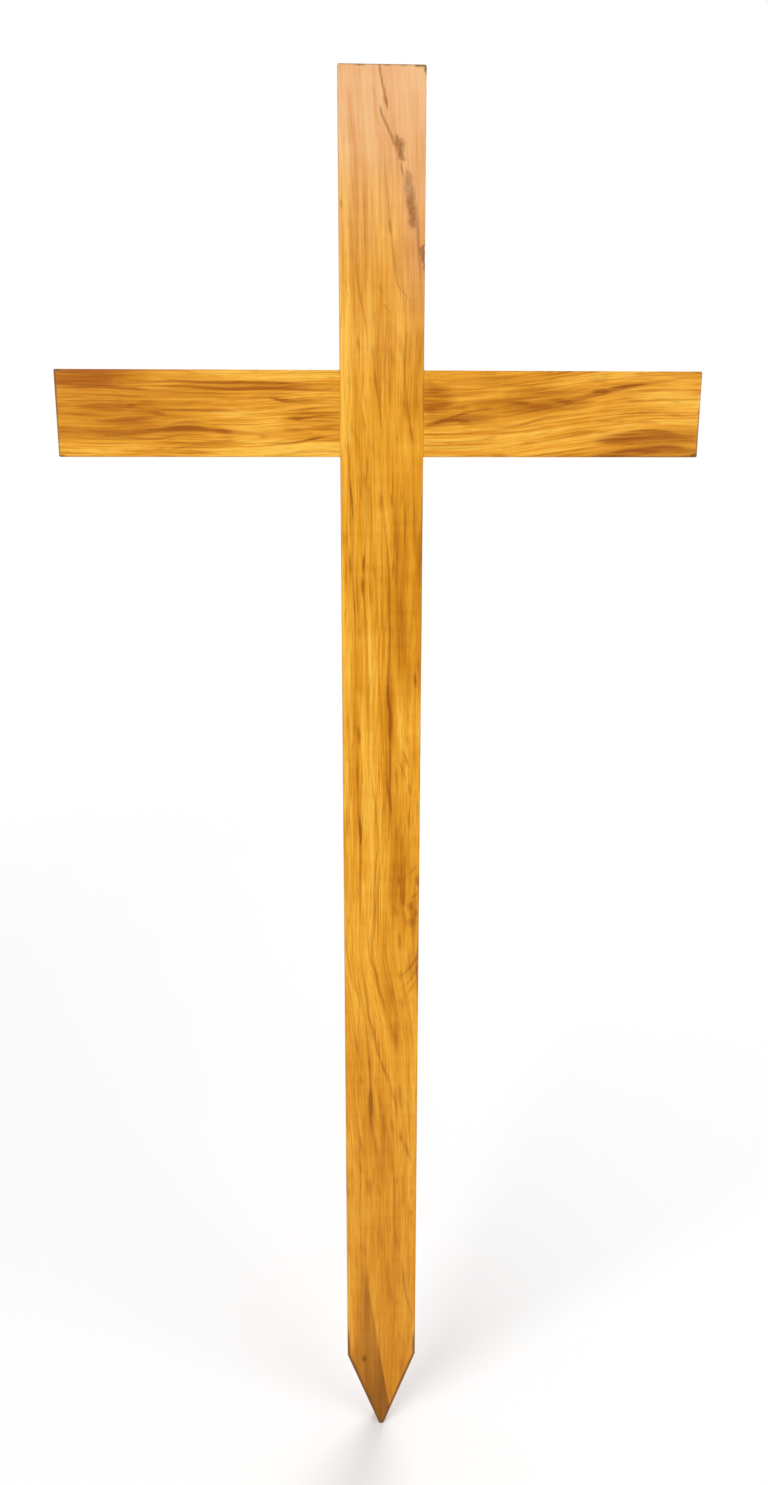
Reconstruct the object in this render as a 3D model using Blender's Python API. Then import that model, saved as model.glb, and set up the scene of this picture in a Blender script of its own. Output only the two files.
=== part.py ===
# A wooden grave cross: a pointed upright and a crossbar, halved into each other so that their faces
# lie flush. Metres, +Z up, front towards -Y. The origin is on the upright's centre line at the
# ground line, and the foot below it is the part that is driven into the soil.

import math

import bmesh
import bpy
from mathutils import Matrix, Vector

# Heights, along the upright
overall_height = 1.200  # blunt tip to top end
buried_depth = 0.300  # blunt tip to ground line
head_height = 0.211  # crossbar's top edge to top end
point_length = 0.081  # blunt tip to the shoulders of the point

# Boards
upright_width = 0.065
crossbar_width = 0.065
crossbar_length = 0.500
board_thickness = 0.020  # one stock for both boards, which brings the halved joint out flush
tip_width = 0.0042

# Arrises, eased after the cross was glued up, so that they run round the inner corners
eased_radius = 0.0012
eased_steps = 3
square_corner = math.radians(80)  # a corner of the outline that turns this far is eased too

# The halved joint
joint_gap = 0.0003  # between the two boards, all round

shading_angle = math.radians(30)
plane_tolerance = 1e-6

# Places worked out from the sizes
half_thickness = board_thickness / 2
tip_z = -buried_depth
top_z = tip_z + overall_height
shoulder_z = tip_z + point_length
bar_top_z = top_z - head_height
bar_bottom_z = bar_top_z - crossbar_width
half_upright = upright_width / 2
half_bar = crossbar_length / 2
half_tip = tip_width / 2


def clear_scene():
    for obj in list(bpy.data.objects):
        bpy.data.objects.remove(obj)


def wood(name, colour, roughness):
    material = bpy.data.materials.new(name)
    material.use_nodes = True
    shader = material.node_tree.nodes["Principled BSDF"]
    shader.inputs["Base Color"].default_value = (*colour, 1)
    shader.inputs["Roughness"].default_value = roughness
    shader.inputs["Metallic"].default_value = 0
    return material


def cross_outline():
    """The cross's front outline as (x, z) points, going round it once."""
    right_side = [
        (half_upright, top_z),
        (half_upright, bar_top_z),
        (half_bar, bar_top_z),
        (half_bar, bar_bottom_z),
        (half_upright, bar_bottom_z),
        (half_upright, shoulder_z),
        (half_tip, tip_z),
    ]
    return right_side + [(-x, z) for x, z in reversed(right_side)]


def is_arris(edge):
    """True for an edge of the front or back face, and for a square outer corner between them."""
    a, b = edge.verts
    if abs(a.co.y - b.co.y) < plane_tolerance:
        return True
    return edge.calc_face_angle_signed() > square_corner


def eased_cross():
    """The whole cross as one closed mesh, with its arrises rounded."""
    mesh = bmesh.new()
    front = [mesh.verts.new((x, -half_thickness, z)) for x, z in cross_outline()]
    face = mesh.faces.new(front)
    made = bmesh.ops.extrude_face_region(mesh, geom=[face])
    back = [item for item in made["geom"] if isinstance(item, bmesh.types.BMVert)]
    bmesh.ops.translate(mesh, verts=back, vec=(0, board_thickness, 0))
    bmesh.ops.recalc_face_normals(mesh, faces=mesh.faces)
    bmesh.ops.bevel(
        mesh,
        geom=[edge for edge in mesh.edges if is_arris(edge)],
        affect="EDGES",
        offset=eased_radius,
        segments=eased_steps,
        profile=0.5,
        clamp_overlap=True,
        material=-1,
    )
    return mesh


def saw_off(mesh, point, normal):
    """Cuts away what lies beyond a plane and closes the cut."""
    bmesh.ops.bisect_plane(
        mesh,
        geom=mesh.verts[:] + mesh.edges[:] + mesh.faces[:],
        dist=plane_tolerance,
        plane_co=point,
        plane_no=normal,
        clear_outer=True,
    )
    open_edges = [edge for edge in mesh.edges if edge.is_boundary]
    bmesh.ops.holes_fill(mesh, edges=open_edges, sides=0)


def board(name, mesh, material):
    bmesh.ops.recalc_face_normals(mesh, faces=mesh.faces)
    data = bpy.data.meshes.new(name)
    mesh.to_mesh(data)
    mesh.free()
    data.materials.append(material)
    data.shade_smooth()
    data.set_sharp_from_angle(angle=shading_angle)
    obj = bpy.data.objects.new(name, data)
    bpy.context.scene.collection.objects.link(obj)
    return obj


def cut_notch(obj, low, high):
    """Takes the box between two corners out of a board."""
    low, high = Vector(low), Vector(high)
    mesh = bmesh.new()
    size = Matrix.Diagonal((*(high - low), 1))
    bmesh.ops.create_cube(mesh, size=1, matrix=Matrix.Translation((low + high) / 2) @ size)
    data = bpy.data.meshes.new(f"{obj.name}_notch")
    mesh.to_mesh(data)
    mesh.free()
    cutter = bpy.data.objects.new(data.name, data)
    cutter.hide_render = True
    cutter.display_type = "WIRE"
    bpy.context.scene.collection.objects.link(cutter)
    modifier = obj.modifiers.new("notch", "BOOLEAN")
    modifier.operation = "DIFFERENCE"
    modifier.solver = "EXACT"
    modifier.object = cutter


def make_upright(material):
    """The upright keeps its front half at the joint, and is notched from behind."""
    mesh = eased_cross()
    for side in (-1, 1):
        saw_off(mesh, (side * half_upright, 0, 0), (side, 0, 0))
    upright = board("upright", mesh, material)
    low = (-upright_width, joint_gap / -2, bar_bottom_z - joint_gap)
    high = (upright_width, board_thickness, bar_top_z + joint_gap)
    cut_notch(upright, low, high)


def make_crossbar(material):
    """The crossbar keeps its back half at the joint, and is notched from the front."""
    mesh = eased_cross()
    saw_off(mesh, (0, 0, bar_top_z), (0, 0, 1))
    saw_off(mesh, (0, 0, bar_bottom_z), (0, 0, -1))
    crossbar = board("crossbar", mesh, material)
    low = (-half_upright - joint_gap, -board_thickness, bar_bottom_z - crossbar_width)
    high = (half_upright + joint_gap, joint_gap / 2, bar_top_z + crossbar_width)
    cut_notch(crossbar, low, high)


clear_scene()
make_upright(wood("upright_wood", (0.73, 0.33, 0.06), 0.38))
make_crossbar(wood("crossbar_wood", (0.64, 0.27, 0.045), 0.38))
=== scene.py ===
# Varnished grave cross: two boards over their plain frame, a pale floor, soft light and the camera.
import math

import bmesh
import bpy
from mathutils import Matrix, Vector, noise


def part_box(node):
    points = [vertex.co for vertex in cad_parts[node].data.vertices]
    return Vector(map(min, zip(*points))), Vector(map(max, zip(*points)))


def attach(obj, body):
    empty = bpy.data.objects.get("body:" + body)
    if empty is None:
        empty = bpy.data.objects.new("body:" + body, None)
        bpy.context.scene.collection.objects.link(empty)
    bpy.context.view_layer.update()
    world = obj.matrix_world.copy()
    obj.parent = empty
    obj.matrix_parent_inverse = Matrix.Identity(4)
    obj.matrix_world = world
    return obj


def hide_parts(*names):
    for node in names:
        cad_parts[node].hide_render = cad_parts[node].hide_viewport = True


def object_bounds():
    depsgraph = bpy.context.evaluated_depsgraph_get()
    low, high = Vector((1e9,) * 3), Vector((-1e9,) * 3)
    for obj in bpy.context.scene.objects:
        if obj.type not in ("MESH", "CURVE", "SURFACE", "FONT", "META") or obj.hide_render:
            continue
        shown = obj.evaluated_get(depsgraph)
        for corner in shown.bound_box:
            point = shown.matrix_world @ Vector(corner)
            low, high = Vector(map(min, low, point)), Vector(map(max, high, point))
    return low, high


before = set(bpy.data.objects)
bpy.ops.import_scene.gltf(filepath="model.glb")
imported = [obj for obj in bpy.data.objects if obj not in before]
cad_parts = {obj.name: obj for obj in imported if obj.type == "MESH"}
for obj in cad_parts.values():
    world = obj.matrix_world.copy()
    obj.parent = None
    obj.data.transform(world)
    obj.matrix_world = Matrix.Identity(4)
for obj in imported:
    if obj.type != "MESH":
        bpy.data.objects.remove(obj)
frameLow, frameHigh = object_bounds()
print("frame loaded")

# Where things are, from the frame, in metres
uprightLow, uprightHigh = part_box("upright")
barLow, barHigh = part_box("crossbar")
crossingZ = (barLow.z + barHigh.z) / 2
halfUpright = uprightHigh.x
halfBarWidth = (barHigh.z - barLow.z) / 2
halfThickness = uprightHigh.y
mm = 0.001
uprightTop = (uprightHigh.z - crossingZ) / mm
uprightTip = (uprightLow.z - crossingZ) / mm


# Camera

camera = {
    "place": (-0.0406, -0.9296, -0.0252),  # from the middle of the crossing
    "turn": (75.501, -0.062, -2.628),  # degrees
    "lens": 27.649,
}


def makeCamera():
    data = bpy.data.cameras.new("camera")
    data.lens = camera["lens"]
    data.sensor_width = 36
    data.clip_start = 0.01
    eye = bpy.data.objects.new("camera", data)
    eye.location = Vector((0, 0, crossingZ)) + Vector(camera["place"])
    eye.rotation_euler = [math.radians(a) for a in camera["turn"]]
    bpy.context.scene.collection.objects.link(eye)
    bpy.context.scene.camera = eye
    print("camera placed")


# Shader maths


class Wire:
    # an output socket that can be added, multiplied and so on like a number
    def __init__(self, finish, socket):
        self.finish = finish
        self.socket = socket

    def do(self, operation, *values):
        return self.finish.node("Math", {"operation": operation}, dict(enumerate(values)))

    def __add__(self, other):
        return self.do("ADD", self, other)

    def __radd__(self, other):
        return self.do("ADD", other, self)

    def __sub__(self, other):
        return self.do("SUBTRACT", self, other)

    def __rsub__(self, other):
        return self.do("SUBTRACT", other, self)

    def __mul__(self, other):
        return self.do("MULTIPLY", self, other)

    def __rmul__(self, other):
        return self.do("MULTIPLY", other, self)

    def __truediv__(self, other):
        return self.do("DIVIDE", self, other)

    def __rtruediv__(self, other):
        return self.do("DIVIDE", other, self)

    def __pow__(self, other):
        return self.do("POWER", self, other)

    def __abs__(self):
        return self.do("ABSOLUTE", self)

    def scaled(self, factor, plus):
        return self.do("MULTIPLY_ADD", self, factor, plus)

    def smaller(self, other):
        return self.do("MINIMUM", self, other)

    def larger(self, other):
        return self.do("MAXIMUM", self, other)

    def held(self):
        # kept between 0 and 1
        return self.finish.node("Clamp", {}, {"Value": self})

    def rise(self, start, end, low=0.0, high=1.0):
        # goes smoothly from low to high as the value goes from start to end
        if start > end:
            start, end, low, high = end, start, high, low
        sockets = {"Value": self, "From Min": start, "From Max": end, "To Min": low, "To Max": high}
        return self.finish.node("MapRange", {"interpolation_type": "SMOOTHSTEP"}, sockets)


class Finish:
    # one material and its nodes
    def __init__(self, name):
        self.material = bpy.data.materials.new(name)
        self.material.use_nodes = True
        self.tree = self.material.node_tree
        self.shader = self.tree.nodes["Principled BSDF"]
        self.output = self.tree.nodes["Material Output"]

    def node(self, kind, settings, sockets, out=0):
        made = self.tree.nodes.new("ShaderNode" + kind)
        for name, value in settings.items():
            if name == "stops":
                self.setStops(made.color_ramp.elements, value)
            elif name == "points":
                self.setPoints(made.mapping, value)
            else:
                setattr(made, name, value)
        for name, value in sockets.items():
            self.feed(made.inputs[name], value)
        return Wire(self, made.outputs[out])

    def feed(self, socket, value):
        if isinstance(value, Wire):
            self.tree.links.new(value.socket, socket)
        else:
            socket.default_value = value

    def setStops(self, elements, stops):
        while len(elements) < len(stops):
            elements.new(1)
        for element, (place, colour) in zip(elements, stops):
            element.position = place
            element.color = colour

    def setPoints(self, mapping, points):
        line = mapping.curves[0].points
        for place in points[1:-1]:
            line.new(*place)
        line[0].location, line[len(line) - 1].location = points[0], points[-1]
        mapping.update()

    def split(self, vector):
        parts = self.node("SeparateXYZ", {}, {0: vector})
        return [Wire(self, socket) for socket in parts.socket.node.outputs]

    def join(self, x, y, z):
        return self.node("CombineXYZ", {}, {0: x, 1: y, 2: z})

    def noise(self, place, detail=2.0, roughness=0.5):
        sockets = {"Vector": place, "Scale": 1.0, "Detail": detail, "Roughness": roughness}
        return self.node("TexNoise", {}, sockets)

    def mix(self, amount, below, above):
        return self.node("Mix", {"data_type": "RGBA"}, {0: amount, 6: below, 7: above}, out=2)


def screen(red, green, blue, gain):
    # a colour as seen on screen, 0 to 255, turned into the light it stands for
    def light(value):
        value /= 255
        return value / 12.92 if value <= 0.04045 else ((value + 0.055) / 1.055) ** 2.4

    return (light(red) * gain, light(green) * gain, light(blue) * gain, 1.0)


# The boards' wood

# Places on a board are in millimetres from the middle of the crossing: across the grain, then along it.
# A streak is its points, half width and darkness: two points make a straight lens, more make a winding one.
# A wash is (start, end, half width, how much lighter). A lean is (start, end, shift) along the board.
# An arris mark is (start, end, half width, how dark and wide the edge is there); the brown along an edge is
# partly grime and partly painted shade.

uprightLook = {
    "wood": "upright",
    "ripple": 0.22,
    "frayed": 0.8,
    "hair": 0.3,
    "grain": 0.25,
    "darkness": 1.08,
    "pith": (46, 62),  # across, and behind the middle of the board
    "sway": 8,
    "seed": 0.0,
    "tone": 0.5,
    "tipHalf": 2.1,
    "slope": (0.936, 0.351),  # the way out of the point's sawn side: across, and towards the tip
    "leans": [(-432, -560, 13), (-560, -690, 5), (250, 150, 4)],
    "knots": [(28, -412, 8, 18, 4), (-16, -879, 4, 9, 3)],  # across, along, half width, half height, push
    "streaks": [
        # long lines, from the head down
        ((-21.0, 136), (-20.6, 118), (-18.6, 98), (-15.0, 78), (-11.8, 62), (-10.8, 48), 1.1, 0.45),
        ((1.0, 184), (4.2, 156), (6.6, 130), (9.6, 108), (14.0, 88), (22.0, 78), 1.1, 0.35),
        ((-13.0, 190), (-14.0, 160), (-12.6, 120), (-13.6, 90), 0.9, 0.2),
        ((12.6, 104), (17.0, 84), (18.4, 60), (17.4, 34), (19.6, 8), (23.4, -20), (24.4, -52), 1.3, 0.4),
        ((-26.0, -20), (-24.4, -60), (-22.8, -88), (-23.4, -120), (-21.8, -160), (-21.2, -205),
         (-20.6, -246), 1.0, 0.45),
        ((-13.0, -28), (-12.2, -60), (-13.0, -96), (-14.4, -130), (-12.6, -170), (-11.8, -205),
         (-11.4, -262), 1.0, 0.45),
        ((-7.6, 0), (-8.8, -40), (-8.2, -84), (-9.6, -128), (-8.4, -160), (-7.8, -196), 0.9, 0.35),
        ((0.6, -60), (1.8, -80), (4.6, -108), (5.8, -130), (6.2, -150), (6.4, -185), (5.2, -220), (7.0, -244),
         (7.0, -280), (7.0, -318), (8.4, -340), (8.2, -366), 1.3, 0.7),
        ((-1.0, -136), (-0.2, -154), (1.6, -176), (1.0, -206), 1.0, 0.4),
        ((14.0, -84), (12.2, -112), (11.6, -140), (13.0, -172), (14.6, -200), 1.2, 0.4),
        ((5.0, -200), (6.4, -232), (6.6, -262), 5.0, 0.35),
        ((6.0, -262), (5.4, -284), (6.6, -312), 3.8, 0.35),
        ((-20.4, -270), (-20.2, -308), (-18.4, -340), (-18.0, -372), (-18.4, -400), (-18.2, -434), 1.2, 0.6),
        ((-10.4, -278), (-8.6, -296), (-6.2, -312), (-4.4, -330), (-3.2, -352), (-5.0, -372), (-6.4, -396),
         (-6.0, -420), (-8.0, -446), (-10.6, -462), 1.2, 0.5),
        ((-28.0, -240), (-27.4, -300), (-28.2, -350), 1.0, 0.25),
        ((12.0, -340), (11.0, -370), (9.6, -400), (10.0, -430), (12.0, -456), 1.1, 0.4),
        ((-11.2, -446), (-8.6, -462), (-4.6, -474), (-2.6, -488), (2.4, -504), (4.0, -518), 1.4, 0.6),
        ((-16.4, -476), (-13.0, -496), (-11.2, -514), (-7.4, -530), (-3.4, -550), (1.6, -564),
         (6.8, -580), 1.4, 0.6),
        ((-14.6, -508), (-13.4, -530), (-11.0, -556), (-10.0, -580), (-9.8, -606), (-9.2, -640), 1.7, 0.65),
        ((-22.4, -470), (-20.0, -500), (-20.6, -530), (-18.8, -566), (-19.8, -600), 1.0, 0.35),
        ((3.6, -462), (8.4, -480), (12.0, -500), (16.0, -520), 1.1, 0.35),
        ((6.4, -574), (9.2, -590), (13.0, -604), (14.4, -622), 1.6, 0.45),
        ((-8.4, -626), (-5.6, -644), (-2.6, -660), (-1.8, -680), 2.6, 0.45),
        ((7.2, -636), (9.4, -656), (11.2, -676), (12.4, -704), (12.0, -736), (15.0, -762), 1.3, 0.6),
        ((-24.0, -600), (-21.0, -640), (-19.4, -670), (-20.4, -700), 1.2, 0.35),
        ((-2.0, -690), (-1.6, -716), (-2.8, -744), (0.4, -772), 1.2, 0.35),
        # head
        ((-26, 214), (-23, 184), 1.0, 0.2),
        ((-10, 222), (3, 194), 1.0, 0.16),
        ((1.6, 223), (3.4, 216), 2.0, 0.75),
        ((-7.0, 230), (-5.4, 220), 1.2, 0.3),
        ((24.2, 163), (25.4, 148), (26.8, 132), (27.8, 115), (29.4, 98), 1.5, 0.7),
        ((22.6, 128), (22.8, 112), 1.8, 0.3),
        ((5.2, 140), (7.2, 128), 1.8, 0.35),
        ((8.5, 126), (11.5, 94), 3.2, 0.3),
        ((10.0, 97), (22.5, 80), 1.0, 0.35),
        ((-30.8, 154), (-30.2, 146), 1.2, 0.6),
        ((-4.0, 96), (3.0, 84), 1.2, 0.25),
        ((0.0, 82), (8.0, 72), 1.3, 0.3),
        ((-18.5, 58), (-17.5, 44), 1.2, 0.4),
        ((-8.0, 50), (-5.5, 36), 1.1, 0.4),
        ((-6.2, 37), (-2.6, 6), 1.2, 0.75),
        ((-2.6, 10), (1.0, -18), 1.0, 0.35),
        ((5.0, 50), (10.0, 34), 3.6, 0.3),
        ((13.0, 60), (18.0, 32), 2.2, 0.25),
        # beside and below the crossbar
        ((16.5, 12), (21.0, -6), 3.2, 0.35),
        ((22.0, -8), (24.0, -22), 1.2, 0.45),
        ((-15.2, 4), (-13.0, -16), 1.1, 0.45),
        ((-24.0, -8), (-16.5, -28), 1.3, 0.35),
        ((-11.8, -30), (-11.2, -50), 1.2, 0.55),
        ((-25.5, -48), (-22.4, -80), 1.2, 0.6),
        ((-17.6, -50), (-16.4, -68), 1.1, 0.45),
        ((-9.0, -52), (-8.0, -84), 0.9, 0.3),
        ((-1.6, -58), (-0.6, -76), 1.7, 0.45),
        ((7.0, -60), (8.0, -71), 1.3, 0.5),
        ((11.0, -66), (12.0, -135), 3.0, 0.35),
        ((19.0, -70), (18.0, -100), 1.2, 0.3),
        ((26.0, -64), (27.0, -112), 1.4, 0.35),
        ((30.0, -86), (30.6, -134), 2.4, 0.6),
        ((9.4, -112), (8.6, -128), 1.4, 0.6),
        ((-14.2, -108), (-15.2, -124), 1.7, 0.75),
        ((-15.8, -124), (-15.4, -142), 1.7, 0.8),
        ((-25.8, -105), (-25.2, -126), 1.4, 0.65),
        ((-6.8, -114), (-5.6, -128), 1.2, 0.45),
        ((-21.0, -120), (-19.0, -160), 1.0, 0.35),
        ((-9.5, -128), (-8.5, -150), 0.9, 0.35),
        ((16.0, -140), (17.0, -168), 1.4, 0.3),
        ((4.4, -214), (7.2, -244), 1.8, 0.85),
        ((7.6, -234), (6.6, -264), 2.4, 0.85),
        ((4.4, -294), (8.2, -326), 1.8, 0.85),
        ((-19.8, -248), (-18.8, -266), 1.9, 0.8),
        ((-20.4, -272), (-20.0, -308), 1.4, 0.55),
        ((-18.8, -326), (-17.8, -354), 1.6, 0.85),
        ((27.0, -204), (28.2, -218), 1.8, 0.65),
        ((30.2, -188), (30.4, -214), 1.3, 0.5),
        ((18.0, -270), (23.0, -286), 1.3, 0.55),
        ((15.0, -280), (20.0, -296), 1.1, 0.45),
        ((11.2, -284), (13.2, -304), 1.3, 0.5),
        ((23.0, -298), (24.0, -310), 1.6, 0.5),
        ((30.4, -312), (30.6, -330), 1.2, 0.5),
        ((22.6, -322), (23.4, -340), 1.6, 0.4),
        ((12.6, -334), (13.4, -350), 1.5, 0.45),
        ((17.0, -340), (18.4, -362), 1.3, 0.4),
        # round the knotty patch
        ((-6.0, -400), (-7.5, -440), 1.2, 0.3),
        ((19.4, -362), (19.8, -374), 1.8, 0.5),
        ((14.4, -380), (15.4, -393), 2.0, 0.7),
        ((30.0, -381), (31.2, -392), 1.8, 0.8),
        ((18.4, -398), (19.2, -410), 1.7, 0.75),
        ((11.0, -408), (13.4, -420), 1.8, 0.5),
        ((24.4, -405), (24.9, -415), 3.4, 0.6),
        ((29.6, -412), (29.8, -422), 2.2, 0.6),
        ((26.2, -420), (26.6, -430), 5.0, 0.6),
        ((31.0, -371), (24.0, -380), (16.5, -385), 1.8, 0.4),
        ((31.5, -396), (24.0, -403), (15.0, -405), 1.8, 0.4),
        ((31.5, -455), (25.0, -468), (17.0, -476), 1.7, 0.42),
        ((31.5, -466), (26.0, -479), (19.0, -486), 1.6, 0.4),
        ((31.0, -478), (25.0, -490), (19.5, -497), 1.5, 0.35),
        ((20.0, -414), (21.0, -432), 1.3, 0.5),
        ((15.4, -434), (16.2, -452), 1.7, 0.6),
        ((26.6, -452), (27.0, -480), 5.0, 0.22),
        ((24.6, -461), (25.0, -474), 4.6, 0.14),
        ((31.0, -448), (31.2, -500), 1.2, 0.5),
        ((16.0, -470), (16.8, -482), 1.4, 0.45),
        # the slanting figure
        ((8.4, -486), (11.4, -498), 1.4, 0.45),
        ((17.6, -496), (19.0, -510), 1.3, 0.4),
        ((11.4, -520), (13.8, -552), 2.3, 0.75),
        ((-23.4, -532), (-21.2, -556), 1.6, 0.5),
        ((-3.0, -534), (-2.0, -556), 1.5, 0.45),
        ((-9.8, -590), (-9.6, -616), 2.2, 0.95),
        ((-9.8, -586), (-9.4, -634), 4.6, 0.45),
        ((-19.8, -570), (-18.0, -584), 1.7, 0.45),
        ((-0.4, -560), (5.4, -578), 1.4, 0.5),
        ((15.8, -580), (17.6, -608), 1.7, 0.6),
        ((8.2, -616), (11.0, -635), 2.2, 0.5),
        ((1.4, -612), (2.8, -640), 1.6, 0.45),
        ((17.2, -628), (17.8, -643), 2.2, 0.45),
        ((19.0, -638), (27.0, -662), 2.2, 0.5),
        ((-20.4, -632), (-17.2, -654), 1.8, 0.5),
        ((-21.6, -658), (-18.8, -674), 1.6, 0.4),
        ((-11.4, -680), (-10.8, -698), 2.5, 0.55),
        ((-4.2, -684), (-1.6, -700), 1.8, 0.35),
        ((27.4, -713), (27.6, -722), 2.0, 0.5),
        ((-2.6, -730), (1.0, -758), 2.8, 0.35),
        ((13.2, -734), (17.0, -764), 1.9, 0.45),
        ((-18.6, -744), (-15.0, -768), 3.2, 0.3),
        # foot
        ((19.6, -772), (23.2, -812), 1.4, 0.65),
        ((23.0, -806), (29.0, -832), 1.3, 0.45),
        ((6.2, -790), (10.6, -820), 2.3, 0.5),
        ((12.0, -816), (14.0, -842), 1.3, 0.3),
        ((16.0, -844), (18.4, -862), 1.4, 0.4),
        ((-17.8, -772), (-16.6, -800), (-14.8, -838), 3.2, 0.6),
        ((27.0, -836), (24.0, -880), 1.8, 0.3),
        ((-26.0, -846), (-21.0, -884), 2.2, 0.45),
    ],
    # the lighter washes down the left edge and the darker ones down the right side are partly the wood's own
    # tone and partly painted light falling from the left
    "washes": [
        ((-29, 210), (-29, 20), 7, 0.26),
        ((-29, 90), (-29, -80), 5, 0.3),
        ((-4, 104), (-2, 22), 14, -0.05),
        ((27, 200), (27, 30), 7, -0.16),
        ((-30, -120), (-29, -340), 5, 0.3),
        ((-10, -180), (-8, -440), 7, 0.16),
        ((-26, -340), (-24, -480), 6, 0.2),
        ((19, -225), (21, -275), 6, 0.22),
        ((21, -46), (22, -215), 13, -0.3),
        ((22, 16), (24, -20), 8, -0.1),
        ((20, -355), (22, -440), 11, -0.16),
        ((27, -446), (27, -498), 6, -0.16),
        ((28, -505), (28, -570), 5, 0.1),
        ((29, -570), (28, -740), 4, 0.14),
        ((-4, -590), (-2, -690), 13, -0.08),
        ((-28, -764), (-27, -872), 6, 0.16),
        ((14, -862), (12, -948), 14, -0.2),
        ((23, -866), (22, -894), 4, -0.16),
    ],
    "arrises": [
        ((0, -1012), (0, -846), 60, 1.4),
        ((0, 238), (0, 250), 60, 0.5),
        ((31, 236), (31, 250), 7, 0.5),
        ((33, -378), (33, -505), 4, 0.45),
        ((33, -55), (33, -170), 4, 0.45),
        ((33, 60), (33, -40), 4, 0.3),
        ((-33, -480), (-33, -545), 4, 0.35),
    ],
}

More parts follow.
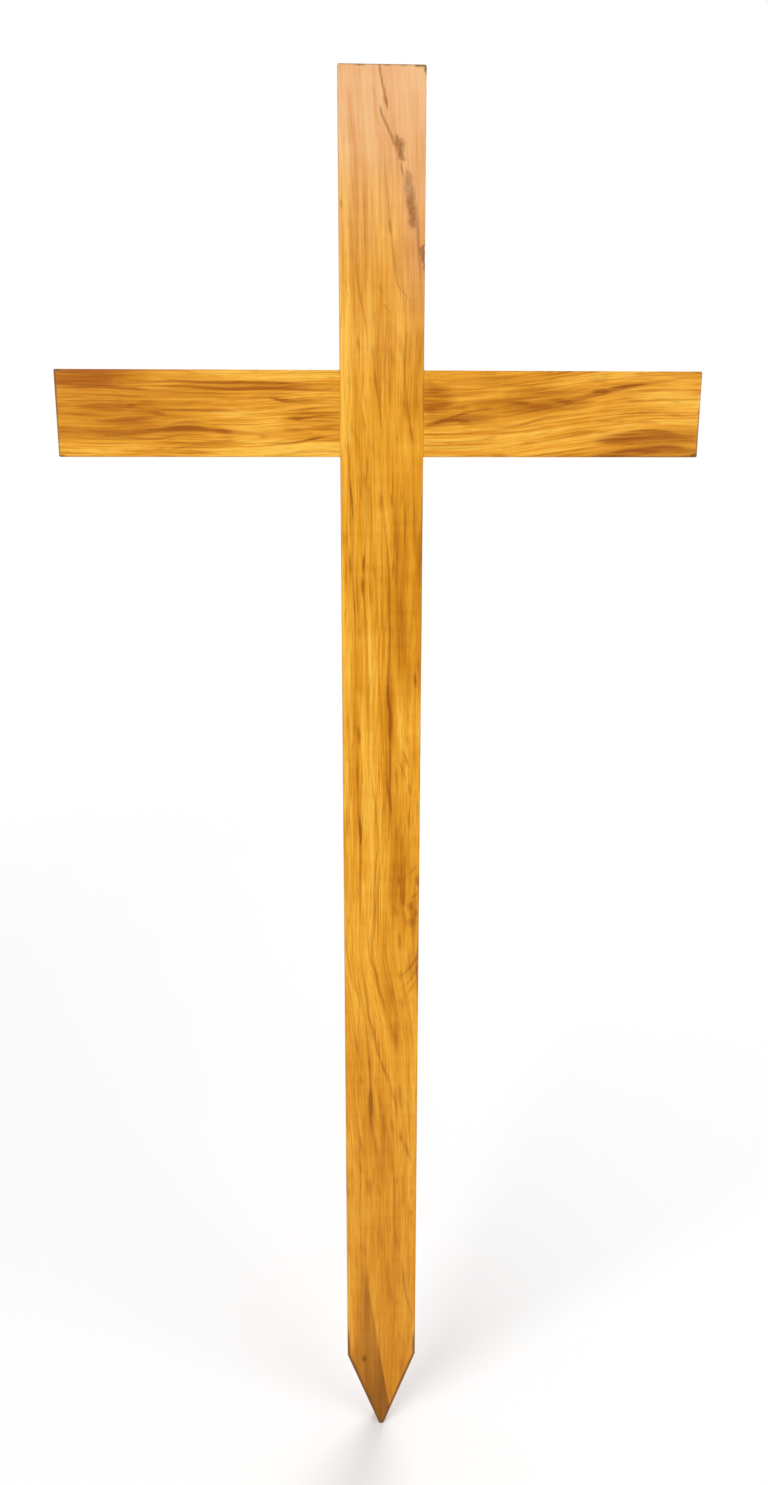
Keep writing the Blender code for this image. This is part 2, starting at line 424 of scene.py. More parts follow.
crossbarLook = {
    "wood": "bar",
    "ripple": 0.1,
    "frayed": 1.15,
    "hair": 0.4,
    "grain": 0.55,
    "darkness": 1.1,
    "pith": (-70, 46),
    "sway": 7,
    "seed": 41.0,
    "tone": 0.5,
    "leans": [(40, 230, 17), (-36, -110, -3)],
    "knots": [(0, -214, 12, 22, 5), (7, 104, 8, 20, 3), (-18, 214, 7, 30, 4)],
    "streaks": [
        # left arm, the upper edge first
        ((29.5, -249), (29.2, -230), (28.2, -200), 2.0, 0.55),
        ((24.8, -217), (24.6, -204), 1.7, 0.45),
        ((22.4, -248), (22.6, -226), (21.4, -204), 2.4, 0.35),
        ((18.9, -249), (19.1, -235), (19.6, -218), (18.6, -200), (18.0, -188), (16.8, -172),
         (16.6, -156), 1.6, 0.8),
        ((24.6, -194), (23.3, -180), (23.7, -160), (23.0, -140), (22.9, -112), (22.8, -86),
         (22.2, -64), (21.8, -42), 1.4, 0.9),
        ((20.0, -174), (20.5, -158), (19.5, -140), (18.4, -118), (18.7, -95), (18.3, -70),
         (17.5, -50), (16.8, -32), 1.4, 0.95),
        ((20.8, -106), (20.5, -84), (20.2, -58), 2.0, 0.35),
        ((26.5, -175), (26.9, -150), (26.4, -132), 1.0, 0.25),
        ((13.2, -248), (13.8, -226), (12.6, -200), 1.3, 0.25),
        ((14.0, -100), (14.9, -82), (14.3, -64), 0.9, 0.35),
        ((10.4, -124), (11.5, -104), (12.2, -90), (9.6, -77), (9.2, -70), (10.4, -54), (11.4, -34), 1.2, 0.5),
        ((11.8, -86), (9.2, -67), 2.0, 0.4),
        ((7.4, -64), (7.8, -50), (7.5, -33), 0.8, 0.35),
        ((6.6, -236), (5.6, -218), (4.4, -202), (5.4, -190), 3.2, 0.5),
        ((6.1, -197), (6.0, -189), 1.7, 0.7),
        ((9.2, -188), (8.1, -174), 1.2, 0.35),
        ((4.8, -178), (2.6, -160), (2.5, -140), (2.2, -124), (1.6, -111), 1.5, 0.65),
        ((1.6, -182), (0.4, -174), (-2.2, -164), 1.9, 0.6),
        ((-4.2, -224), (-5.3, -212), (-4.6, -198), (-3.8, -186), (-2.6, -176), (-0.6, -166), 1.8, 0.75),
        ((2.0, -77), (3.0, -62), (4.6, -46), (5.0, -33), 1.0, 0.6),
        ((-3.6, -75), (-3.3, -62), (-1.6, -48), (-0.9, -32), 1.3, 0.85),
        ((-3.4, -73), (-3.1, -61), 2.0, 0.5),
        ((-5.8, -60), (-5.4, -46), (-6.3, -33), 1.0, 0.5),
        ((-9.8, -54), (-9.0, -33), 1.1, 0.4),
        ((-11.6, -76), (-12.8, -60), 2.2, 0.35),
        ((-9.2, -204), (-7.8, -186), (-6.4, -168), 1.2, 0.35),
        ((-8.0, -163), (-6.4, -148), (-7.2, -133), 1.5, 0.65),
        ((-12.0, -249), (-12.6, -230), (-14.2, -212), (-14.6, -195), (-12.8, -175), (-11.5, -160),
         (-10.8, -148),
         (-11.7, -136), (-13.1, -122), (-14.6, -105), (-15.4, -86), 2.3, 0.85),
        ((-12.2, -170), (-11.0, -150), (-12.2, -132), 2.6, 0.45),
        ((-15.6, -242), (-16.8, -215), (-17.9, -195), (-18.8, -180), (-17.6, -165), (-15.6, -150),
         (-16.6, -133), 1.2, 0.6),
        ((-12.8, -131), (-13.8, -115), 2.2, 0.55),
        ((-17.6, -128), (-17.0, -113), 1.4, 0.35),
        ((-17.3, -96), (-17.1, -88), 1.3, 0.4),
        ((-22.5, -92), (-22.0, -72), (-20.6, -62), (-18.0, -50), (-16.6, -42), (-15.3, -32), 1.2, 0.75),
        ((-19.6, -60), (-17.6, -44), 0.9, 0.35),
        ((-28.4, -168), (-24.8, -154), (-23.6, -141), (-24.6, -130), 1.1, 0.4),
        ((-21.8, -232), (-22.6, -205), (-21.6, -180), 0.9, 0.25),
        ((-29.8, -162), (-29.2, -144), (-30.0, -126), 1.2, 0.4),
        # right arm
        ((-10.2, 31), (-7.2, 40), (-4.2, 52), (-3.4, 64), (-3.4, 78), (-2.2, 90), 4.2, 0.75),
        ((-9.8, 33), (-6.2, 43), (-4.2, 55), (-4.8, 66), 1.8, 0.6),
        ((-10.6, 31), (-8.4, 38), (-5.6, 47), (-1.2, 58), (2.4, 72), (4.0, 88), 1.0, 0.5),
        ((-7.0, 58), (-6.4, 71), 1.8, 0.45),
        ((3.4, 32), (2.6, 43), 2.8, 0.5),
        ((17.8, 36), (18.2, 53), 1.1, 0.4),
        ((12.6, 34), (13.4, 48), (14.8, 60), 1.0, 0.3),
        ((23.2, 33), (23.0, 41), 1.4, 0.4),
        ((5.0, 54), (5.8, 69), 1.8, 0.55),
        ((8.0, 66), (9.0, 80), (10.2, 92), (11.7, 105), (12.4, 118), 1.2, 0.65),
        ((4.2, 74), (4.6, 88), 1.4, 0.35),
        ((16.2, 92), (17.2, 104), (18.6, 118), (20.2, 136), 1.3, 0.5),
        ((20.8, 82), (21.6, 98), (22.8, 114), 1.2, 0.4),
        ((26.3, 72), (27.0, 90), (27.6, 110), 1.1, 0.3),
        ((6.6, 94), (7.4, 106), (6.0, 118), (5.4, 132), (6.8, 144), 3.0, 0.7),
        ((8.2, 97), (8.6, 108), (7.2, 118), 1.5, 0.5),
        ((1.8, 96), (2.6, 112), (1.8, 126), 1.3, 0.35),
        ((9.4, 126), (10.2, 140), (11.4, 150), (13.6, 160), (16.2, 170), (18.6, 182), (21.4, 196),
         (23.6, 211), (26.4, 230), 2.2, 0.7),
        ((10.6, 131), (9.6, 149), 2.0, 0.6),
        ((7.6, 137), (8.6, 152), (10.2, 168), 1.4, 0.55),
        ((17.6, 163), (18.0, 176), 1.8, 0.75),
        ((20.2, 174), (21.8, 192), (24.4, 210), 1.4, 0.5),
        ((16.0, 118), (16.4, 132), (17.4, 148), 1.4, 0.45),
        ((3.4, 136), (4.4, 150), (6.6, 166), 1.3, 0.45),
        ((25.0, 160), (26.2, 176), 2.0, 0.3),
        ((10.2, 190), (10.8, 206), 1.2, 0.35),
        ((-9.8, 86), (-9.6, 100), (-7.6, 110), (-5.2, 119), (-2.0, 132), (-0.6, 146), 1.3, 0.6),
        ((-14.0, 60), (-13.3, 78), (-12.0, 96), 1.1, 0.3),
        ((-4.8, 166), (-4.9, 181), 1.4, 0.35),
        ((-5.6, 198), (-6.0, 217), 1.5, 0.35),
        ((-1.0, 170), (0.8, 196), (1.6, 226), 1.0, 0.25),
        ((-31.2, 84), (-31.0, 99), 1.6, 0.5),
        # the two long lenses at the lower right
        ((-20.2, 165), (-18.8, 181), (-17.4, 198), (-16.8, 214), (-17.2, 230), (-18.6, 251), 5.8, 0.62),
        ((-16.2, 178), (-15.0, 191), (-14.4, 206), 1.0, 0.5),
        ((-19.0, 182), (-18.0, 200), (-18.2, 222), 1.1, 0.5),
        ((-21.8, 172), (-21.2, 190), (-21.4, 206), 1.0, 0.45),
        ((-14.0, 208), (-14.6, 226), (-16.0, 244), 1.0, 0.4),
        ((-17.4, 204), (-17.0, 220), (-17.6, 240), 1.0, 0.35),
        ((-20.2, 167), (-19.8, 181), (-19.0, 197), 2.0, 0.5),
        ((-12.8, 196), (-12.2, 210), (-13.6, 232), 1.2, 0.35),
        ((-31.4, 160), (-30.0, 178), (-28.2, 195), (-26.8, 210), (-26.2, 225), (-27.6, 242),
         (-29.4, 262), 3.9, 0.72),
        ((-29.2, 178), (-27.4, 196), (-26.2, 214), 1.0, 0.5),
        ((-31.4, 188), (-30.0, 206), (-29.4, 228), 1.1, 0.5),
        ((-25.0, 206), (-24.4, 222), (-25.4, 240), 1.0, 0.4),
        ((-31.8, 164), (-31.2, 198), 1.8, 0.8),
        ((-27.6, 196), (-27.8, 222), 1.4, 0.5),
    ],
    "washes": [
        ((27, -274), (26, -186), 9, -0.47),
        ((7, -268), (3, -150), 12, -0.3),
        ((-13, -268), (-12, -134), 7, -0.22),
        ((-25, -262), (-26, -186), 5.5, 0.16),
        ((-5, -126), (-6, -80), 11, 0.2),
        ((-28, -140), (-27, -4), 7, 0.5),
        ((29, -130), (29, -26), 4.5, 0.3),
        ((20, -170), (19, -50), 6, -0.14),
        ((-10, -80), (-8, -30), 8, -0.12),
        ((9, 24), (8, 56), 12, -0.34),
        ((17, 40), (14, 160), 11, -0.16),
        ((2, 60), (8, 156), 7, -0.32),
        ((-23, 20), (-20, 176), 9, 0.2),
        ((13, 204), (12, 262), 10, 0.22),
        ((-22, 176), (-23, 262), 12, -0.24),
    ],
    "arrises": [
        ((0, -262), (0, -244.5), 90, 0.62),
        ((-18, 244.5), (-18, 262), 26, 0.7),
        ((30, 244.5), (30, 260), 8, 0.45),
        ((33, -290), (33, -140), 4, 0.28),
        ((33, 30), (33, 170), 4, 0.35),
        ((-33, -270), (-33, -118), 4, 0.3),
        ((-33, 150), (-33, 280), 4, 0.6),
    ],
}

# Where the head grows paler, partly its own paler wood and partly a painted reflection of glare on the
# varnish: all of it up the board, and its lower part also across the board
headToneAndGlare = {
    "rise": (-40, 258),
    "power": 1.5,
    "lowerStart": (40, 120),
    "lowerEnd": (188, 162),
    "lowerAcross": (4, 28, -0.2, 0.14),  # less pale to the left, paler to the right
    "toneScale": (0.75, 0.12),
}

# Damage to the head: the fissure's runs, two bark pockets (start, end, half width, depth) and a chipped arris
headDamage = {
    "fissure": [
        [(-2.4, 244), (-1.0, 236), (0.6, 229), (2.6, 221), (3.8, 215)],
        [(-1.4, 214), (0.4, 208.5), (3.2, 203.6), (5.6, 198.5), (8.3, 192.8)],
        [(13.8, 177), (15.4, 171)],
    ],
    # the fissure is not carved: its dark line is painted shade
    "fissureHalfWidth": 1.0,
    "fissureEdge": (1.5, 0.5, 0.7),  # reach, fraying and softness
    "fissureDark": 0.6,
    "pockets": [((11.2, 197), (14.6, 179), 3.6, 0.7), ((19.0, 173), (23.6, 133), 3.4, 1.1)],
    "pocketEdge": (2.1, 0.9, 0.42),
    "pocketWobble": 6,
    "pocketRim": 1.15,
    "pocketSteepness": 2.2,
    "pocketStain": 0.4,
    "pocketDark": 0.72,
    "paleAbove": (153, 161),  # the second pocket is pale between these and dark below
    "paleBelow": (174, 180),
    "chip": (96, 122),  # from its thin lower end to its broad upper end
    "chipAcross": 5.4,
    "chipInwards": 3.8,
    "chipDark": 0.85,
}

# The foot, and the brown band that runs down into the point. Below "slantFrom" the band's right edge slants
footBand = {
    "darkens": (-380, -900),
    "darkness": 0.42,
    "top": (-770, -800),
    "right": -11.4,
    "slantFrom": -800,
    "slant": 0.144,
    "left": -18.0,
    "leftShift": (-842, -908, 0, -24),
    "knot": ((-16.4, -884), (-16.0, -874), 2.8, (1.1, 0.3, 1.0)),
    "amount": 0.92,
    "tones": [(0.1, (122, 72, 0)), (0.42, (154, 92, 6)), (0.9, (202, 130, 32))],
}

# the brown along the arrises is partly grime and partly painted shade
edgeLook = {
    "ends": (0.25, 0.9),
    "endsDark": 0.8,
    "grimeAndShade": (0.45, 0.65),
    "grimeAndShadeDark": 0.3,
    "markFade": (1.5, 0.7),
    "arrisDark": 0.8,
}

woodColours = {
    "gain": 0.86,
    "uprightAmber": [
        (0.0, (184, 110, 2)), (0.25, (216, 141, 18)), (0.55, (238, 164, 40)), (0.95, (255, 194, 70)),
    ],
    "barAmber": [(0.0, (178, 98, 4)), (0.25, (213, 138, 26)), (0.55, (240, 164, 46)), (0.95, (255, 197, 76))],
    # the head's pale, pinkish colours: partly its own wood, partly painted glare on the varnish
    "head": [(0.0, (226, 150, 94)), (0.3, (236, 171, 113)), (0.55, (243, 189, 137)), (1.0, (252, 207, 140))],
    "uprightStreak": (160, 88, 0),
    "barStreak": (162, 88, 2),
    "headStreak": (190, 120, 58),
    # the fissure's painted shade
    "fissure": (142, 88, 50),
    "foot": (190, 114, 20),
    "bark": (112, 70, 40),
    "barkPale": (188, 148, 112),
    "ends": [(0.35, (120, 70, 18)), (0.65, (176, 112, 44))],
    # the arrises' brown: partly grime, partly painted shade
    "arris": (118, 72, 28),
}

# How the grain is drawn, in millimetres
woodGrain = {
    # each noise: its size across the grain and along it, its own seed, detail and roughness
    "layers": {
        "sway": (190, 90, 0, 1.5, 0.5),  # along the board, and into it
        "bands": (11, 300, 0, 2, 0.5),
        "lines": (2.3, 110, 3, 2.5, 0.6),
        "ringEdge": (7, 330, 7, 1.5, 0.5),
        "ringShown": (9, 60, 11, 1, 0.5),
        "patches": (17, 75, 19, 2, 0.5),
        "ripple": (60, 9, 23, 1, 0.5),
        "hair": (0.9, 90, 31, 1, 0.5),
        "grain": (1.5, 42, 43, 2.5, 0.65),
    },
    "fibreSize": (0.9, 34),
    "fleckSize": (1.3, 15),
    "tones": {"bands": 0.7, "lines": 1.15, "fibre": 0.8, "patches": 0.45, "ringEdge": 0.18},
    "ringEdgeNarrow": 26,
    "ringShown": (0.4, 0.62),
    "flecks": (0.62, 0.78),
    "flecksDark": 0.25,
    "hairs": (0.55, 0.7),
    "raggedLines": 1.5,
    "raggedFibre": 1.3,
    "streakReach": 1.3,
    "streakSoftness": 0.62,
    "washFade": (1.8, 0),
    "marksFade": (6, -4),  # what is named runs out before the back, at these depths
    "damageFade": (-5, -8),
}

varnish = {
    "roughness": 0.38,
    "rougherEnds": 0.2,
    "rougherLines": 0.12,
    "rougherStreaks": 0.05,
    "coat": 0.04,
    "coatRoughness": 0.22,
    "specular": 0.16,
    "relief": 0.025,
}


def shade(name):
    return screen(*woodColours[name], woodColours["gain"])


def ramp(finish, value, stops):
    listed = [(place, screen(*colour, woodColours["gain"])) for place, colour in stops]
    return finish.node("ValToRGB", {"stops": listed}, {0: value})


def lens(across, along, start, end, halfWidth, square=False):
    # 0 on the middle of a long slanting lens and 1 at its edge. A square one has blunt ends
    slope = (end[0] - start[0]) / (end[1] - start[1])
    stretch = 2 / abs(end[1] - start[1])
    reach = along.scaled(stretch, -stretch * (start[1] + end[1]) / 2)
    level = across.scaled(1 / halfWidth, (slope * start[1] - start[0]) / halfWidth)
    offset = along.scaled(-slope / halfWidth, level)
    return offset.scaled(offset, reach ** 6.0 if square else reach * reach)


def winding(across, along, points, halfWidth):
    # like lens, on a middle line that winds through the points
    start, end = points[0][1], points[-1][1]
    low, high = min(points)[0] - 1, max(points)[0] + 1
    part = along.scaled(1 / (end - start), -start / (end - start))
    placed = [((z - start) / (end - start), (x - low) / (high - low)) for x, z in points]
    middle = across.finish.node("FloatCurve", {"points": placed}, {"Value": part})
    level = across.scaled(1 / halfWidth, -low / halfWidth)
    offset = middle.scaled((low - high) / halfWidth, level)
    reach = part.scaled(2, -1)
    return offset.scaled(offset, reach * reach)


def filled(away, ragged, edge):
    # 1 inside a shape and 0 outside it, by its edge's reach, fraying and softness
    reach, frayed, softness = edge
    return ((reach - away + ragged * frayed) * softness).held()


def addStreaks(across, along, listed, frayed):
    # soft dark lenses and lines, their edges frayed by the grain
    softness = woodGrain["streakSoftness"]
    top = (frayed + woodGrain["streakReach"]) * softness
    total = 0.0
    for *points, halfWidth, strength in listed:
        if len(points) > 2:
            away = winding(across, along, points, halfWidth)
        else:
            away = lens(across, along, *points, halfWidth)
        total = away.scaled(-softness, top).held().scaled(strength, total)
    return total


def addWashes(across, along, listed, frayed):
    total = 0.0
    for start, end, halfWidth, strength in listed:
        away = lens(across, along, start, end, halfWidth) - frayed
        total = away.rise(*woodGrain["washFade"]).scaled(strength, total)
    return total


def layer(wood, name, across, along, seed):
    wide, long, ownSeed, detail, roughness = woodGrain["layers"][name]
    return wood.noise(wood.join(across / wide, along / long, seed + ownSeed), detail, roughness)


def grainPlaces(wood, look, across, along, depth):
    # the grain's own coordinates: they lean, sway, and part round the knots
    sway = layer(wood, "sway", along, depth, look["seed"])
    moved = across + (sway - 0.5) * look["sway"]
    for start, end, shift in look["leans"]:
        moved = moved - along.rise(start, end, 0, shift)
    for knotAcross, knotAlong, halfWidth, halfHeight, push in look["knots"]:
        side = (across - knotAcross) / halfWidth
        height = (along - knotAlong) / halfHeight
        bell = 1 / (1 + side * side + height * height) ** 2
        moved = moved - side * bell * push
    pithAcross, pithDepth = look["pith"]
    sideways = moved - pithAcross
    inwards = depth - pithDepth
    ring = (sideways * sideways + inwards * inwards) ** 0.5
    return moved, ring


def woodFinish(name, look, runsUp):
    wood = Finish(name)
    x, y, z = wood.split(wood.node("TexCoord", {}, {}, out="Object"))
    side, height, depth = x / mm, (z - crossingZ) / mm, y / mm
    across, along = (side, height) if runsUp else (height, side)
    seed = look["seed"]
    moved, ring = grainPlaces(wood, look, across, along, depth)

    bands = layer(wood, "bands", ring, along, seed)
    lines = layer(wood, "lines", ring, along, seed)
    grain = layer(wood, "grain", ring, along, seed)
    patches = layer(wood, "patches", moved, along, seed)
    ripple = layer(wood, "ripple", across, along, seed)
    wide, long = woodGrain["fibreSize"]
    fibre = wood.noise(wood.join(moved / wide, along / long, depth / wide))
    edgeNoise = layer(wood, "ringEdge", ring, along, seed)
    ringEdge = (1 - abs(edgeNoise - 0.5) * woodGrain["ringEdgeNarrow"]).held()
    ringEdge = ringEdge * layer(wood, "ringShown", ring, along, seed).rise(*woodGrain["ringShown"])

    tones = woodGrain["tones"]
    tone = look["tone"] + (bands - 0.5) * tones["bands"] + (lines - 0.5) * tones["lines"]
    tone = tone + (fibre - 0.5) * tones["fibre"] + (patches - 0.5) * tones["patches"]
    tone = tone + (ripple - 0.5) * look["ripple"] - ringEdge * tones["ringEdge"]
    tone = tone + (grain - 0.5) * look["grain"]
    front = depth.rise(*woodGrain["marksFade"])
    ragged = (lines - 0.5) * woodGrain["raggedLines"] + (fibre - 0.5) * woodGrain["raggedFibre"]
    tone = tone + addWashes(across, along, look["washes"], ragged) * front
    streaks = addStreaks(across, along, look["streaks"], ragged * look["frayed"]) * front

    # fine dark flecks and hairlines
    wide, long = woodGrain["fleckSize"]
    fleck = wood.noise(wood.join(moved / wide, along / long, depth / wide + 5), 0)
    hair = layer(wood, "hair", ring, along, seed)
    flecks = fleck.rise(*woodGrain["flecks"]) * woodGrain["flecksDark"]
    flecks = flecks + hair.rise(*woodGrain["hairs"]) * look["hair"]

    colour = ramp(wood, tone, woodColours[look["wood"] + "Amber"])
    darkness = (streaks * look["darkness"] + flecks).held()
    colour = wood.mix(darkness, colour, shade(look["wood"] + "Streak"))
    if runsUp:
        # the paler head is partly its wood and partly a painted reflection of glare
        colour = paleHeadAndGlare(wood, colour, tone, streaks, across, along)
        colour = headBark(wood, colour, across, along, depth, ragged)
        colour = brownFoot(wood, colour, tone, across, along, front, ragged)
    colour, ends = edgesAndEnds(wood, colour, look, across, along, depth, fibre, runsUp)
    wood.feed(wood.shader.inputs["Base Color"], colour)

    roughness = varnish["roughness"] + ends * varnish["rougherEnds"]
    roughness = roughness + (lines - 0.5) * varnish["rougherLines"] + streaks * varnish["rougherStreaks"]
    wood.feed(wood.shader.inputs["Roughness"], roughness)
    wood.shader.inputs["Coat Weight"].default_value = varnish["coat"]
    wood.shader.inputs["Coat Roughness"].default_value = varnish["coatRoughness"]
    wood.shader.inputs["Specular IOR Level"].default_value = varnish["specular"]
    heights = (fibre - 0.5) * 0.5 + (lines - 0.5) * 0.5 - ringEdge * 0.3
    sockets = {"Height": heights, "Distance": varnish["relief"] * mm, "Strength": 1.0}
    wood.feed(wood.shader.inputs["Normal"], wood.node("Bump", {}, sockets))
    print(name, "shaded with", len(wood.tree.nodes), "nodes")
    return wood.material


def paleHeadAndGlare(wood, colour, tone, streaks, across, along):
    # the head grows paler and pinker upwards, and does so lower down at its right side: partly the wood's own
    # tone, partly a painted reflection of glare on the varnish
    head = along.rise(*headToneAndGlare["rise"]) ** headToneAndGlare["power"]
    below = along.rise(*headToneAndGlare["lowerEnd"]) * along.rise(*headToneAndGlare["lowerStart"])
    head = (head + below * across.rise(*headToneAndGlare["lowerAcross"])).held()
    headWoodAndGlare = ramp(wood, tone.scaled(*headToneAndGlare["toneScale"]), woodColours["head"])
    headWoodAndGlare = wood.mix(streaks.held(), headWoodAndGlare, shade("headStreak"))
    return wood.mix(head, colour, headWoodAndGlare)


def headBark(wood, colour, across, along, depth, ragged):
    # the fissure, whose dark line is painted shade for a crack the mesh does not carve, the bark in the two
    # pockets, and the raw wood of the chip
    front = depth.rise(*woodGrain["damageFade"])
    wobble = (wood.noise(wood.join(across / 5, along / 9, 31)) - 0.5) * headDamage["pocketWobble"]
    mottle = wood.noise(wood.join(across * 0.7, along * 0.3, 2))
    fissureShade = 0.0
    for run in headDamage["fissure"]:
        for (aboveAcross, above), (belowAcross, below) in zip(run, run[1:]):
            start, end = (aboveAcross, above + 2), (belowAcross, below - 2)
            away = lens(across, along, start, end, headDamage["fissureHalfWidth"])
            fissureShade = filled(away, ragged, headDamage["fissureEdge"]).larger(fissureShade)
    pocket = 0.0
    for start, end, halfWidth, _ in headDamage["pockets"]:
        away = lens(across + wobble, along + wobble * 1.5, start, end, halfWidth, square=True)
        pocket = filled(away, ragged, headDamage["pocketEdge"]).larger(pocket)
    pocket = pocket * front
    pale = along.rise(*headDamage["paleAbove"]) * (1 - along.rise(*headDamage["paleBelow"]))
    bark = wood.mix(mottle.rise(0.25, 0.85), shade("bark"), shade("headStreak"))
    bark = wood.mix(pale * mottle.rise(0.62, 0.45), bark, shade("barkPale"))
    colour = wood.mix(fissureShade * headDamage["fissureDark"] * front, colour, shade("fissure"))
    colour = wood.mix(pocket * headDamage["pocketStain"], colour, shade("headStreak"))
    colour = wood.mix(pocket.rise(0.25, 0.95) * headDamage["pocketDark"], colour, bark)
    chip = chipPlace(across, along, depth, mottle)
    return wood.mix(chip * headDamage["chipDark"], colour, bark)


def chipPlace(across, along, depth, mottle):
    # 1 on the raw wood of the chip in the right front arris
    low, high = headDamage["chip"]
    broad = ((along - low) / (high - low)).held() * along.rise(high + 1, high - 3)
    reach = (halfUpright / mm - across) + (depth + halfThickness / mm)
    return ((broad * (headDamage["chipAcross"] + 0.6) - reach + (mottle - 0.5) * 3) * 0.8).held()


def brownFoot(wood, colour, tone, across, along, front, ragged):
    # the foot darkens, and the brown band runs down into its point
    band = footBand
    colour = wood.mix(along.rise(*band["darkens"]) * band["darkness"], colour, shade("foot"))
    right = along.scaled(-band["slant"], band["slant"] * band["slantFrom"]).larger(0) + band["right"]
    left = band["left"] + along.rise(*band["leftShift"])
    held = ((right - across) * 0.8 + ragged * 0.5).held() * (across - left + ragged * 3).rise(-5, 2)
    held = held * along.rise(*band["top"]) * front
    *knotPlace, knotEdge = band["knot"]
    knot = filled(lens(across, along, *knotPlace), ragged, knotEdge)
    bandTone = tone * 0.6 + along.rise(-930, -850) * 0.3 + across.rise(-10, -27) * 0.3 - knot * 0.5
    return wood.mix(held * band["amount"], colour, ramp(wood, bandTone, band["tones"]))


def edgesAndEnds(wood, colour, look, across, along, depth, fibre, runsUp):
    # darker end grain, and brown along the arrises, which is partly grime and partly painted shade where the
    # eased edges turn from the light
    if runsUp:
        slopeAcross, slopeAlong = look["slope"]
        side = (halfUpright / mm - abs(across)).smaller(uprightTop - along)
        slope = (abs(across) - look["tipHalf"]) * -slopeAcross + (along - uprightTip) * slopeAlong
        edge = side.smaller(slope)
    else:
        edge = (halfBarWidth / mm - abs(across)).smaller(barHigh.x / mm - abs(along))
    normal = wood.split(wood.node("TexCoord", {}, {}, out="Normal"))
    ends = abs(normal[2] if runsUp else normal[0]).rise(*edgeLook["ends"])
    rings = ramp(wood, 0.25 + fibre * 0.5, woodColours["ends"])
    colour = wood.mix(ends * edgeLook["endsDark"], colour, rings)

    # uneven strength of the grime and painted shade along the arrises
    grimeAndShade = wood.noise(wood.join(across * 0.1, along * 0.03, depth * 0.1 + look["seed"]))
    dark = grimeAndShade.rise(*edgeLook["grimeAndShade"]) * edgeLook["grimeAndShadeDark"]
    for start, end, halfWidth, amount in look["arrises"]:
        away = lens(across, along, start, end, halfWidth)
        dark = away.rise(*edgeLook["markFade"]).scaled(amount, dark)
    away = edge.larger(0) + (halfThickness / mm - abs(depth)).larger(0)
    arris = ((dark * 2.1 + 0.5 - away + (fibre - 0.5) * 1.2) * 0.7).held() * dark.held()
    return wood.mix(arris * edgeLook["arrisDark"], colour, shade("arris")), ends


# The boards' mesh

boardMesh = {
    "step": 4 * mm,
    "fineStep": 1 * mm,
    "wearReach": 1.6,  # how far from an arris it is worn, in millimetres
    "wear": 0.1,
    "nick": 0.5,
    "cadGap": 0.3 * mm,  # between the plain boards at the joint
    "jointGap": 0.08 * mm,
    "depthCuts": (-9.2, -8, -6.6, -5, -2, 0, 2, 5, 8),
    "damagedRows": (93, 204),  # these take the fine step, up the board and across it
    "damagedFrom": 6,
    "clearOfJoint": 6,
    "slowWear": 0.03,
    "quickWear": 0.16,
    "nickAbove": 0.42,
    "nearFace": 0.05,
}


def boardFromFrame(node):
    # a merged copy of the plain board, its flat faces joined up again
    bm = bmesh.new()
    bm.from_mesh(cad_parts[node].data)
    bmesh.ops.remove_doubles(bm, verts=bm.verts, dist=0.001 * mm)
    bmesh.ops.dissolve_limit(bm, angle_limit=math.radians(1), verts=bm.verts, edges=bm.edges)
    return bm


def cutAcross(bm, axis, places):
    normal = [0, 0, 0]
    normal[axis] = 1
    for place in places:
        point = [0, 0, 0]
        point[axis] = place
        everything = bm.verts[:] + bm.edges[:] + bm.faces[:]
        bmesh.ops.bisect_plane(bm, geom=everything, dist=0.01 * mm, plane_co=point, plane_no=normal)


def steps(low, high, step):
    count = max(1, round((high - low) / step))
    return [low + (high - low) * k / count for k in range(1, count)]


def roughly(across, along, depth, scale):
    # smooth noise between about -1 and 1
    return noise.noise(Vector((across, along, depth)) * scale)


def wearArrises(bm, look, runsUp):
    # eases the long arrises unevenly, with a few nicks, always inwards
    reach = boardMesh["wearReach"]
    half = (halfUpright if runsUp else halfBarWidth) / mm
    thick = halfThickness / mm
    for vert in bm.verts:
        side, height = vert.co.x / mm, (vert.co.z - crossingZ) / mm
        across, along = (side, height) if runsUp else (height, side)
        depth = vert.co.y / mm
        away = half - abs(across) + thick - abs(depth)
        if away > reach or abs(along) < half + boardMesh["clearOfJoint"]:
            continue
        seed = look["seed"] + math.copysign(20, across) + math.copysign(7, depth)
        slow = roughly(seed, along, 0, boardMesh["slowWear"])
        quick = roughly(seed, along, 9, boardMesh["quickWear"])
        nick = boardMesh["nick"] * max(0, quick - boardMesh["nickAbove"])
        worn = boardMesh["wear"] * (1 + slow) + nick
        worn *= 1 - away / reach
        across -= math.copysign(worn, across)
        depth -= math.copysign(worn, depth)
        side, height = (across, along) if runsUp else (along, across)
        vert.co = (side * mm, depth * mm, height * mm + crossingZ)


def pocketDepth(across, along):
    # how far the bark pockets sink the head's face at a place
    sunk = 0
    for start, end, halfWidth, deep in headDamage["pockets"]:
        middle = start[0] + (end[0] - start[0]) * (along - start[1]) / (end[1] - start[1])
        reach = (2 * along - start[1] - end[1]) / (start[1] - end[1])
        inside = headDamage["pocketRim"] - ((across - middle) / halfWidth) ** 2 - reach ** 6
        inside += roughly(across, along, 0, 0.35) * 0.5
        if inside > 0:
            uneven = 0.85 + 0.5 * roughly(across, along, 5, 0.6)
            sunk += deep * min(1, inside * headDamage["pocketSteepness"]) * uneven
    return sunk


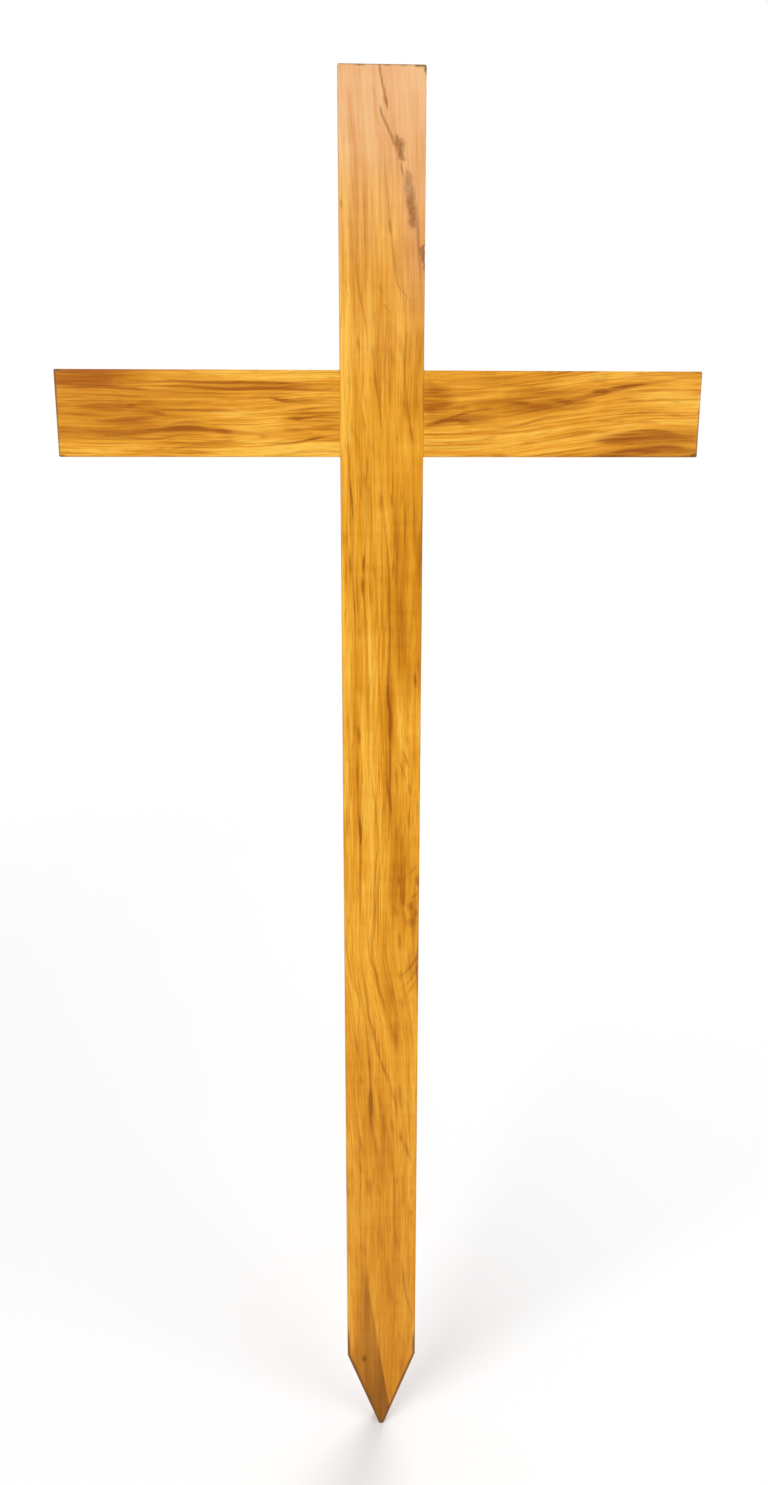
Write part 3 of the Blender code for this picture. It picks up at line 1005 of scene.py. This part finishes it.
def pressDamage(bm):
    # sinks the bark pockets into the head and takes the chip out of its right arris
    low, high = headDamage["chip"]
    right, front = halfUpright / mm, -halfThickness / mm
    for vert in bm.verts:
        across, along, depth = vert.co.x / mm, (vert.co.z - crossingZ) / mm, vert.co.y / mm
        if depth < front + boardMesh["nearFace"]:
            depth += pocketDepth(across, along)
        broad = max(0, min(1, (along - low) / (high - low))) * max(0, min(1, (high + 1 - along) / 3))
        if broad > 0:
            chipAcross, chipInwards = headDamage["chipAcross"] * broad, headDamage["chipInwards"] * broad
            slantAcross, slantInwards = 1 / chipAcross, 1 / chipInwards
            inside = 1 - (right - across) * slantAcross - (depth - front) * slantInwards
            inside += 0.35 * roughly(across, along, 3, 0.5)
            if inside > 0:
                push = inside / (slantAcross ** 2 + slantInwards ** 2)
                across -= push * slantAcross
                depth += push * slantInwards
        vert.co = (across * mm, depth * mm, along * mm + crossingZ)


def closeJoint(bm):
    # draws the crossbar's shoulders up to the upright's sides
    shoulder = halfUpright + boardMesh["cadGap"]
    for vert in bm.verts:
        if abs(abs(vert.co.x) - shoulder) < boardMesh["nearFace"] * mm:
            vert.co.x = math.copysign(halfUpright + boardMesh["jointGap"], vert.co.x)


def finishBoard(bm, name, node, material):
    data = bpy.data.meshes.new(name)
    bm.normal_update()
    bm.to_mesh(data)
    bm.free()
    data.materials.append(material)
    data.shade_smooth()
    data.set_sharp_from_angle(angle=math.radians(35))
    board = bpy.data.objects.new(name, data)
    bpy.context.scene.collection.objects.link(board)
    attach(board, "root")
    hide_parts(node)
    print(name, len(data.polygons), "faces")


def makeUpright():
    bm = boardFromFrame("upright")
    step, fine = boardMesh["step"], boardMesh["fineStep"]
    lowest, highest = [crossingZ + row * mm for row in boardMesh["damagedRows"]]
    cutAcross(bm, 2, steps(uprightLow.z, lowest, step) + steps(lowest, highest, fine))
    cutAcross(bm, 2, steps(highest, uprightHigh.z, step))
    left = boardMesh["damagedFrom"] * mm
    cutAcross(bm, 0, steps(uprightLow.x, left, step) + steps(left, uprightHigh.x, fine))
    cutAcross(bm, 1, [place * mm for place in boardMesh["depthCuts"]])
    wearArrises(bm, uprightLook, True)
    pressDamage(bm)
    finishBoard(bm, "upright_board", "upright", woodFinish("upright_wood", uprightLook, True))


def makeCrossbar():
    bm = boardFromFrame("crossbar")
    cutAcross(bm, 0, steps(barLow.x, barHigh.x, boardMesh["step"]))
    cutAcross(bm, 2, steps(barLow.z, barHigh.z, boardMesh["step"]))
    cutAcross(bm, 1, [place * mm for place in boardMesh["depthCuts"]])
    wearArrises(bm, crossbarLook, False)
    closeJoint(bm)
    finishBoard(bm, "crossbar_board", "crossbar", woodFinish("crossbar_wood", crossbarLook, False))


# Floor and light

studio = {
    "floorRadius": 5.0,
    "floorFade": (0.5, 2.3),
    "floorColour": (0.86, 0.86, 0.86, 1),
    "floorRoughness": 0.9,
    "floorGlow": 0.1,
    "background": 1.0,
    "surround": 0.45,
    "lights": [
        # name, place, size, watts
        ("keyLight", (-1.9, -2.3, 1.9), 1.8, 62),
        ("fillLight", (2.1, -1.9, 0.9), 1.8, 32),
        ("backLight", (0.8, 2.4, 2.0), 1.8, 45),
    ],
    "aim": (0, 0, 0.35),
}


def makeFloor():
    bm = bmesh.new()
    bmesh.ops.create_circle(bm, cap_ends=True, segments=96, radius=studio["floorRadius"])
    bmesh.ops.translate(bm, verts=bm.verts, vec=(0, 0, frameLow.z))
    data = bpy.data.meshes.new("studioFloor")
    bm.to_mesh(data)
    bm.free()
    finish = Finish("studioFloor")
    finish.shader.inputs["Base Color"].default_value = studio["floorColour"]
    finish.shader.inputs["Roughness"].default_value = studio["floorRoughness"]
    finish.shader.inputs["Emission Color"].default_value = (1, 1, 1, 1)
    finish.shader.inputs["Emission Strength"].default_value = studio["floorGlow"]
    x, y, _ = finish.split(finish.node("TexCoord", {}, {}, out="Object"))
    away = (x * x + y * y) ** 0.5
    painted = Wire(finish, finish.shader.outputs[0])
    clear = finish.node("BsdfTransparent", {}, {})
    sockets = {0: away.rise(*studio["floorFade"]), 1: painted, 2: clear}
    finish.feed(finish.output.inputs["Surface"], finish.node("MixShader", {}, sockets))
    data.materials.append(finish.material)
    floor = bpy.data.objects.new("studioFloor", data)
    bpy.context.scene.collection.objects.link(floor)
    print("floor laid")


def makeLights():
    for name, place, size, watts in studio["lights"]:
        data = bpy.data.lights.new(name, "AREA")
        data.size = size
        data.energy = watts
        lamp = bpy.data.objects.new(name, data)
        lamp.location = place
        aim = Vector(studio["aim"]) - Vector(place)
        lamp.rotation_euler = aim.to_track_quat("-Z", "Y").to_euler()
        bpy.context.scene.collection.objects.link(lamp)
    print("lights hung:", len(studio["lights"]))


def makeSurround():
    # pale to the eye, and dimmer as a light
    world = bpy.data.worlds.new("surround")
    world.use_nodes = True
    tree = world.node_tree
    seen = tree.nodes.new("ShaderNodeLightPath").outputs["Is Camera Ray"]
    strength = tree.nodes.new("ShaderNodeMapRange")
    strength.inputs["To Min"].default_value = studio["surround"]
    strength.inputs["To Max"].default_value = studio["background"]
    tree.links.new(seen, strength.inputs["Value"])
    shader = tree.nodes["Background"]
    shader.inputs["Color"].default_value = (1, 1, 1, 1)
    tree.links.new(strength.outputs[0], shader.inputs["Strength"])
    bpy.context.scene.world = world
    bpy.context.scene.view_settings.view_transform = "Standard"
    print("surround set")


makeCamera()
makeUpright()
makeCrossbar()
makeFloor()
makeLights()
makeSurround()
